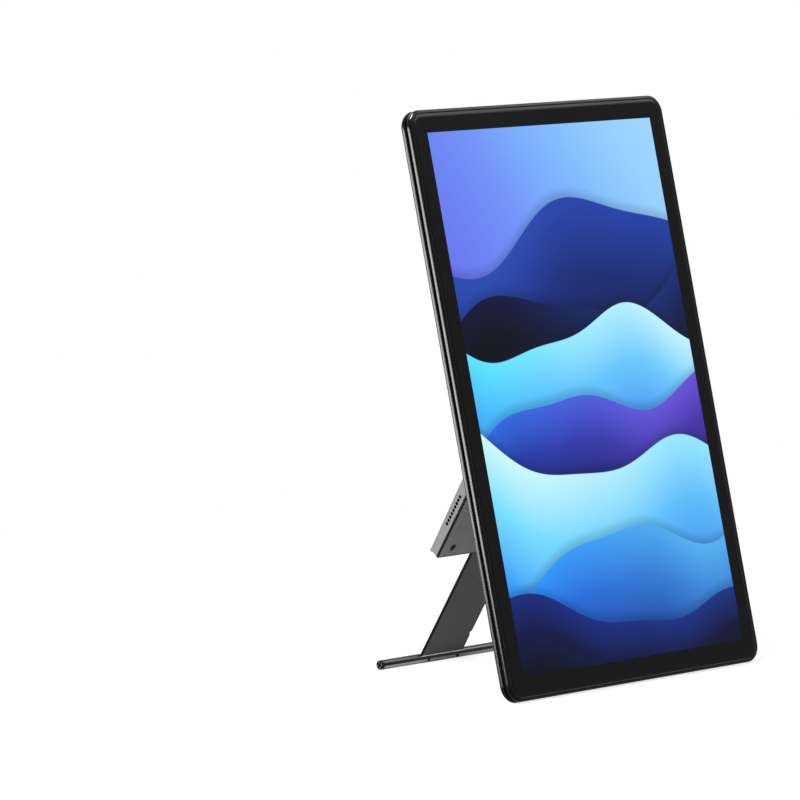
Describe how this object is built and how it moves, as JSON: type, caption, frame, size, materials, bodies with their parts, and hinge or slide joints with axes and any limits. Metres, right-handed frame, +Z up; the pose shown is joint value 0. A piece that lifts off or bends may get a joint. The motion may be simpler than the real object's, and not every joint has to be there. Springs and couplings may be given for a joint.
{
  "type": "portable monitor",
  "caption": "Slim upright portable display with a swivelling, folding stand module that carries ports, speakers and a light, and a sliding leg with a round foot bar.",
  "frame": {"origin": "middle of the bounding box on the table plane", "axes": "+Z up, +Y to the back, where the stand is, +X to the right as seen from the front"},
  "size_m": [0.2144, 0.1516, 0.3205],
  "materials": {
    "glass": "polished",
    "screen": "gloss",
    "frame": "gloss",
    "cover": "satin gloss",
    "knuckle": "satin",
    "housing": "satin",
    "plate": "satin",
    "leg": "satin",
    "bar": "gloss",
    "rubber": "matte",
    "keys": "satin",
    "light": "lit",
    "acrylic": "clear",
    "shell": "plated",
    "tongue": "matte",
    "sheet_metal": "bare",
    "steel": "ground",
    "bronze": "ground",
    "screw": "blackened",
    "board": "matte",
    "film": "matte",
    "dark_trim": "matte"
  },
  "bodies": {
    "display": {"cover_glass": "glass", "glass_tape": "film", "front_frame": "frame", "lcd_cell": "screen", "light_guide": "acrylic", "backlight_strip": "board", "panel_tray": "sheet_metal", "tray_screws": "screw", "driver_board": "board", "display_flex": "film", "light_sensor": "dark_trim", "back_cover": "cover"},
    "swivel": {"swivel_plate": "cover", "swivel_retainer": "sheet_metal", "friction_washer": "film", "retainer_screws": "screw", "hinge_knuckle": "knuckle", "hinge_shaft": "steel"},
    "module": {"module_housing": "housing", "module_back_plate": "plate", "light_bar": "light", "led_board": "board", "usb_a_shell": "shell", "usb_a_tongue": "tongue", "usb_c_upper_shell": "shell", "usb_c_upper_tongue": "tongue", "usb_c_lower_shell": "shell", "usb_c_lower_tongue": "tongue", "main_board": "board", "speaker_left": "dark_trim", "speaker_right": "dark_trim", "hinge_bushing_left": "bronze", "hinge_bushing_right": "bronze", "module_screws": "screw", "key_board": "board", "rocker_pin": "steel", "leg_friction_pad": "rubber"},
    "power_key": {"power_button": "keys"},
    "menu_key": {"menu_rocker": "keys"},
    "leg": {"leg_strip": "leg", "foot_bar": "bar", "foot_cap_left": "bar", "foot_cap_right": "bar", "foot_pad": "rubber", "bar_screws": "screw"}
  },
  "joints": [
    {"name": "swivel", "type": "hinge", "parent": "display", "child": "swivel", "pos_m": [0, -0.0325, 0.15941], "axis": [0, -0.9751, 0.2215], "range_deg": [0, 90]},
    {"name": "module_hinge", "type": "hinge", "parent": "swivel", "child": "module", "pos_m": [0, -0.02226, 0.15709], "axis": [1, 0, 0], "range_deg": [-45, 50]},
    {"name": "leg_slide", "type": "slide", "parent": "module", "child": "leg", "axis": [0, 0.5329, -0.8462], "range_m": [-0.07438, 0]},
    {"name": "power_press", "type": "slide", "parent": "module", "child": "power_key", "axis": [1, 0, 0], "range_m": [0, 0.0004], "stiffness_N_per_m": 4000, "springref_m": -0.0003},
    {"name": "menu_rock", "type": "hinge", "parent": "module", "child": "menu_key", "pos_m": [-0.0458, -0.00298, 0.12647], "axis": [0, -0.8462, -0.5329], "range_deg": [-2.5, 2.5], "stiffness_Nm_per_rad": 0.3}
  ]
}
